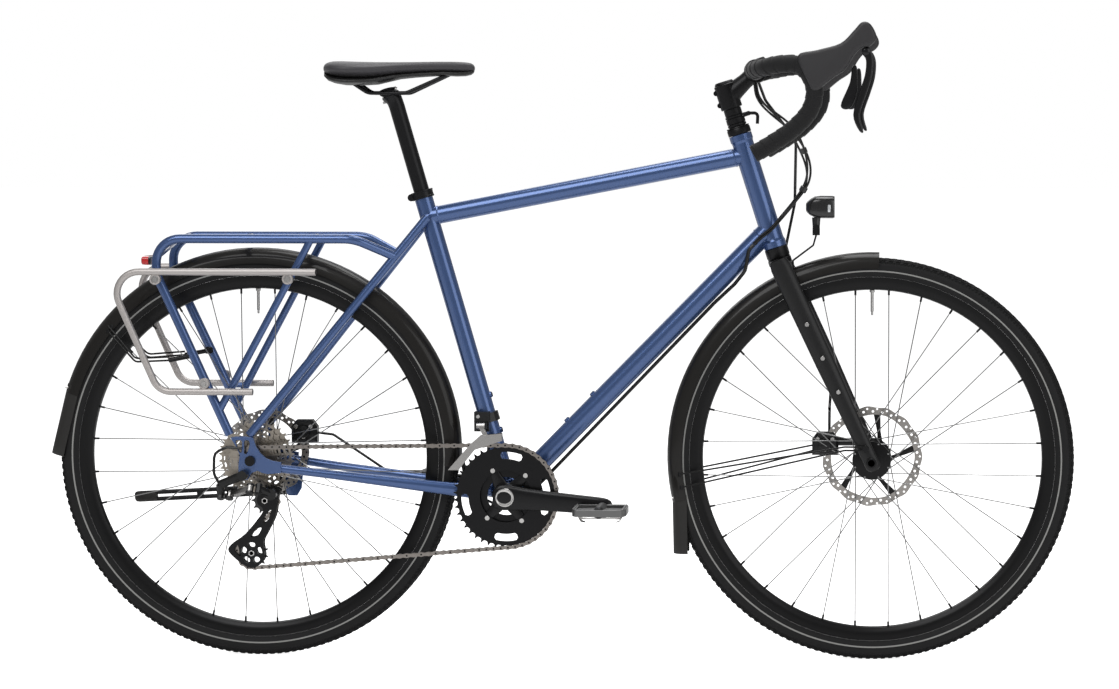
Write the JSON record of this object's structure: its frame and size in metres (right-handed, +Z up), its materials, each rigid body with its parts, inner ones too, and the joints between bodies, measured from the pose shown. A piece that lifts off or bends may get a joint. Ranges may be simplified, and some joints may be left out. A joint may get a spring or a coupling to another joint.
{
  "type": "touring bicycle",
  "caption": "Diamond-frame touring bicycle with drop bar, disc brakes, mudguards, welded rear rack with pannier rails, derailleur drive, headlight and kickstand.",
  "frame": {"origin": "on the ground in the bicycle's middle plane, at the middle of its overall length", "axes": "+X forward towards the front wheel, +Y to the rider's left, +Z up"},
  "size_m": [1.79, 0.465, 1.1009],
  "materials": {
    "blue_paint": "metallic gloss",
    "black_paint": "satin",
    "silver_alloy": "bead blasted",
    "black_alloy": "anodised satin",
    "rim_alloy": "anodised satin",
    "guard_plastic": "satin",
    "red_lens": "gloss",
    "lamp_plastic": "gloss",
    "derailleur_alloy": "anodised satin",
    "cage_steel": "polished",
    "chain_steel": "oiled",
    "cog_steel": "satin",
    "ring_alloy": "anodised satin",
    "rotor_steel": "ground",
    "cable_rubber": "satin",
    "bar_tape": "matt grained",
    "hood_rubber": "matt",
    "lever_alloy": "anodised gloss",
    "tyre": "matt",
    "pedal_alloy": "satin",
    "pulley_plastic": "satin",
    "saddle_cover": "matt"
  },
  "bodies": {
    "frame": {"main_frame": "blue_paint", "stays_left": "blue_paint", "stays_right": "blue_paint", "rack": "blue_paint", "pannier_rail_left": "silver_alloy", "pannier_rail_right": "silver_alloy", "seat_clamp": "black_alloy", "headset_upper": "black_alloy", "headset_lower": "black_alloy", "bottom_bracket": "black_alloy", "rear_mudguard": "guard_plastic", "rear_light": "red_lens", "rear_caliper": "black_alloy", "rear_axle": "black_paint", "front_derailleur_mount": "derailleur_alloy", "chain": "chain_steel", "rear_derailleur_knuckle": "derailleur_alloy", "frame_cables": "cable_rubber"},
    "steering": {"fork": "black_paint", "front_mudguard": "guard_plastic", "front_caliper": "black_alloy", "headset_spacers": "black_alloy", "stem": "black_alloy", "handlebar": "black_alloy", "bar_tape_left": "bar_tape", "bar_tape_right": "bar_tape", "hood_left": "hood_rubber", "hood_right": "hood_rubber", "lamp_bracket": "black_alloy", "front_brake_hose": "cable_rubber", "steering_cables": "cable_rubber"},
    "headlight": {"headlight": "lamp_plastic"},
    "bell_lever": {"bell_lever": "black_alloy"},
    "front_wheel": {"front_tyre": "tyre", "front_rim": "rim_alloy", "front_hub": "rim_alloy", "front_rotor": "rotor_steel"},
    "rear_wheel": {"rear_tyre": "tyre", "rear_rim": "rim_alloy", "rear_hub": "rim_alloy", "rear_rotor": "rotor_steel"},
    "cassette": {"cassette": "cog_steel"},
    "cranks": {"crank_right": "black_alloy", "crank_left": "black_alloy", "chainrings": "ring_alloy"},
    "pedal_right": {"pedal_right": "pedal_alloy"},
    "pedal_left": {"pedal_left": "pedal_alloy"},
    "rear_derailleur_link": {"rear_derailleur_link": "derailleur_alloy"},
    "rear_derailleur_body": {"rear_derailleur_body": "derailleur_alloy"},
    "rear_derailleur_cage": {"rear_derailleur_cage": "derailleur_alloy"},
    "pulley_upper": {"pulley_upper": "pulley_plastic"},
    "pulley_lower": {"pulley_lower": "pulley_plastic"},
    "front_derailleur_cage": {"front_derailleur_cage": "cage_steel"},
    "brake_lever_left": {"brake_lever_left": "lever_alloy"},
    "brake_lever_right": {"brake_lever_right": "lever_alloy"},
    "shift_paddle_left": {"shift_paddle_left": "lever_alloy"},
    "shift_paddle_right": {"shift_paddle_right": "lever_alloy"},
    "seatpost": {"seatpost": "black_alloy"},
    "saddle": {"saddle": "saddle_cover"},
    "kickstand": {"kickstand_leg": "black_paint"}
  },
  "joints": [
    {"name": "steering_turn", "type": "hinge", "parent": "frame", "child": "steering", "pos_m": [0.38401, 0, 0.69768], "axis": [-0.3007, 0, 0.9537], "range_deg": [-60, 60], "deforming": ["steering_cables"]},
    {"name": "front_wheel_spin", "type": "hinge", "parent": "steering", "child": "front_wheel", "pos_m": [0.54501, 0, 0.35], "axis": [0, 1, 0], "continuous": true},
    {"name": "rear_wheel_spin", "type": "hinge", "parent": "frame", "child": "rear_wheel", "pos_m": [-0.52699, 0, 0.35], "axis": [0, 1, 0], "continuous": true},
    {"name": "crank_spin", "type": "hinge", "parent": "frame", "child": "cranks", "pos_m": [-0.08748, 0, 0.287], "axis": [0, 1, 0], "continuous": true, "deforming": ["chain"]},
    {"name": "cassette_spin", "type": "hinge", "parent": "frame", "child": "cassette", "pos_m": [-0.52699, 0, 0.35], "axis": [0, 1, 0], "continuous": true},
    {"name": "pulley_upper_spin", "type": "hinge", "parent": "rear_derailleur_cage", "child": "pulley_upper", "pos_m": [-0.50399, -0.0645, 0.28], "axis": [0, 1, 0], "continuous": true},
    {"name": "pulley_lower_spin", "type": "hinge", "parent": "rear_derailleur_cage", "child": "pulley_lower", "pos_m": [-0.52799, -0.0645, 0.1885], "axis": [0, 1, 0], "continuous": true},
    {"name": "pedal_right_spin", "type": "hinge", "parent": "cranks", "child": "pedal_right", "pos_m": [0.08448, 0, 0.27347], "axis": [0, 1, 0], "continuous": true},
    {"name": "pedal_left_spin", "type": "hinge", "parent": "cranks", "child": "pedal_left", "pos_m": [-0.25945, 0, 0.30053], "axis": [0, 1, 0], "continuous": true},
    {"name": "brake_lever_right_pull", "type": "hinge", "parent": "steering", "child": "brake_lever_right", "pos_m": [0.53671, -0.211, 1.05186], "axis": [0, 1, 0], "range_deg": [0, 10], "stiffness_Nm_per_rad": 1.5, "springref_deg": -11.46},
    {"name": "brake_lever_left_pull", "type": "hinge", "parent": "steering", "child": "brake_lever_left", "pos_m": [0.53671, 0.211, 1.05186], "axis": [0, 1, 0], "range_deg": [0, 10], "stiffness_Nm_per_rad": 1.5, "springref_deg": -11.46},
    {"name": "shift_paddle_right_push", "type": "hinge", "parent": "brake_lever_right", "child": "shift_paddle_right", "pos_m": [0.51671, -0.2003, 1.01986], "axis": [1, 0, 0], "range_deg": [0, 25], "stiffness_Nm_per_rad": 0.3, "springref_deg": -11.46},
    {"name": "shift_paddle_left_push", "type": "hinge", "parent": "brake_lever_left", "child": "shift_paddle_left", "pos_m": [0.51671, 0.2003, 1.01986], "axis": [-1, 0, 0], "range_deg": [0, 25], "stiffness_Nm_per_rad": 0.3, "springref_deg": -11.46},
    {"name": "seat_height", "type": "slide", "parent": "frame", "child": "seatpost", "axis": [-0.2756, 0, 0.9613], "range_m": [-0.1, 0.05]},
    {"name": "saddle_tilt", "type": "hinge", "parent": "seatpost", "child": "saddle", "pos_m": [-0.29364, 0, 0.98418], "axis": [0, 1, 0], "range_deg": [-10, 10]},
    {"name": "kickstand_fold", "type": "hinge", "parent": "frame", "child": "kickstand", "pos_m": [-0.48399, 0.08, 0.282], "axis": [0, 0.9563, 0.2924], "range_deg": [-100, 0]},
    {"name": "rear_derailleur_shift", "type": "hinge", "parent": "frame", "child": "rear_derailleur_link", "pos_m": [-0.56199, -0.082, 0.292], "axis": [0, 0.5736, 0.8192], "range_deg": [0, 56]},
    {"name": "rear_derailleur_parallel", "type": "hinge", "parent": "rear_derailleur_link", "child": "rear_derailleur_body", "pos_m": [-0.52314, -0.09892, 0.30385], "axis": [0, 0.5736, 0.8192], "range_deg": [-56, 0]},
    {"name": "rear_derailleur_cage_swing", "type": "hinge", "parent": "rear_derailleur_body", "child": "rear_derailleur_cage", "pos_m": [-0.48999, -0.0645, 0.293], "axis": [0, 1, 0], "range_deg": [-5, 30], "stiffness_Nm_per_rad": 0.6, "springref_deg": -5.73},
    {"name": "front_derailleur_shift", "type": "hinge", "parent": "frame", "child": "front_derailleur_cage", "pos_m": [-0.13148, -0.044, 0.409], "axis": [1, 0, 0], "range_deg": [0, 8]},
    {"name": "headlight_tilt", "type": "hinge", "parent": "steering", "child": "headlight", "pos_m": [0.44802, 0, 0.75114], "axis": [0, 1, 0], "range_deg": [-10, 15]},
    {"name": "bell_strike", "type": "hinge", "parent": "steering", "child": "bell_lever", "pos_m": [0.33039, 0, 0.9492], "axis": [0, 1, 0], "range_deg": [0, 18], "stiffness_Nm_per_rad": 0.05, "springref_deg": -5.73}
  ],
  "couplings": [
    {"joint": "cassette_spin", "follows": "crank_spin", "ratio": 4},
    {"joint": "pulley_upper_spin", "follows": "crank_spin", "ratio": -4},
    {"joint": "pulley_lower_spin", "follows": "crank_spin", "ratio": 3.3846},
    {"joint": "rear_derailleur_parallel", "follows": "rear_derailleur_shift", "ratio": -1}
  ]
}
